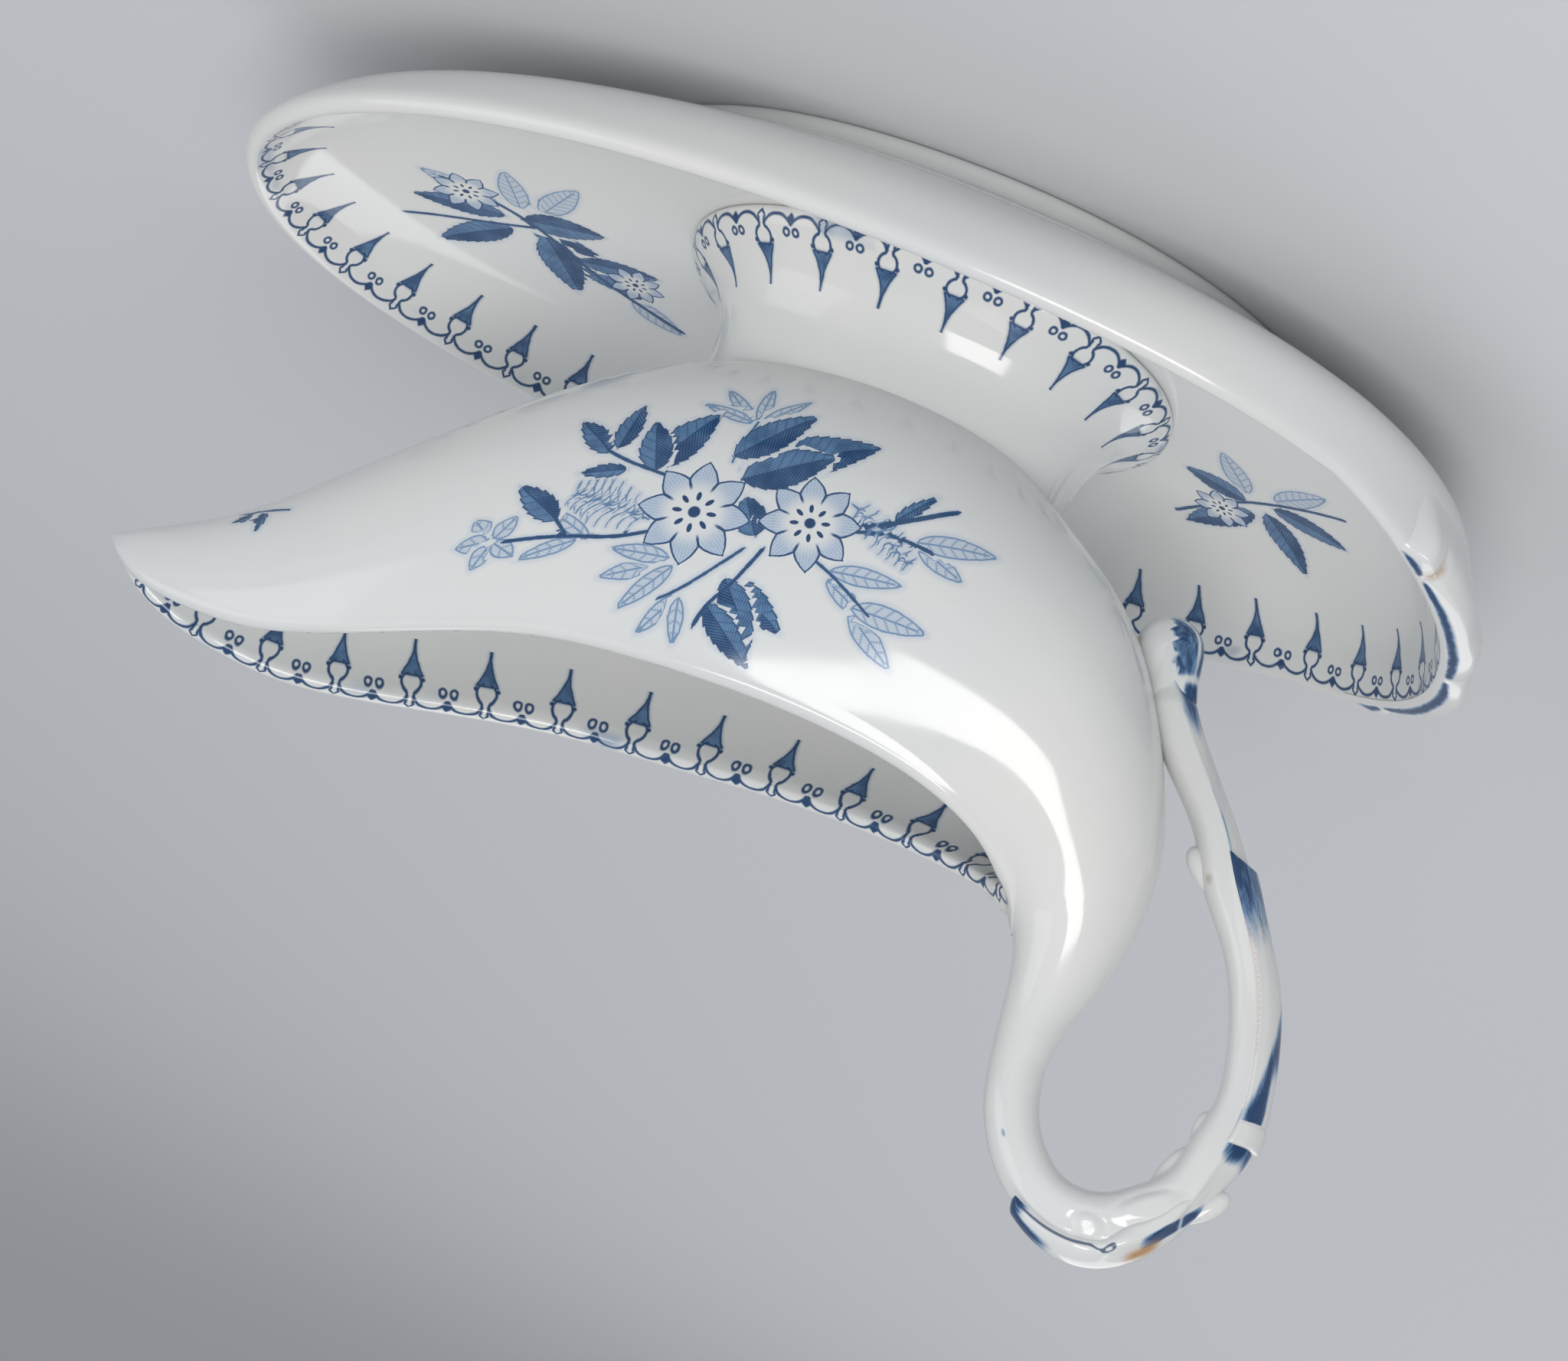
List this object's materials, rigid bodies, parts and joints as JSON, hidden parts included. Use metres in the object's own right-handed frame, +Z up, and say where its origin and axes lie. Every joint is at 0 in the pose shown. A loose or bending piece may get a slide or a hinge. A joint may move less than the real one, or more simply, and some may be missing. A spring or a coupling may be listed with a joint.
{
  "type": "sauceboat with fixed stand",
  "caption": "Footed sauceboat fixed on an oval stand, with a long beak spout, a tall branch loop handle and blue printed decoration.",
  "frame": {"origin": "middle of the whole length and width, on the surface that the foot ring stands on", "axes": "+X from the handle towards the spout, +Y to the left of the spout, +Z up"},
  "size_m": [0.2346, 0.138, 0.1531],
  "materials": {
    "printed_glaze": "gloss",
    "plain_glaze": "gloss",
    "painted_cobalt": "gloss"
  },
  "bodies": {
    "root": {"boat_bowl": "printed_glaze", "pedestal_foot": "printed_glaze", "stand_dish": "printed_glaze", "stand_foot_ring": "plain_glaze", "stand_lug": "printed_glaze", "handle_loop": "printed_glaze", "handle_scroll": "painted_cobalt", "handle_crown_leaf": "painted_cobalt", "handle_back_leaf": "painted_cobalt", "handle_leaf_tip": "plain_glaze", "handle_bud_low": "plain_glaze", "handle_bud_rear": "plain_glaze", "handle_bud_top": "plain_glaze"}
  },
  "joints": []
}
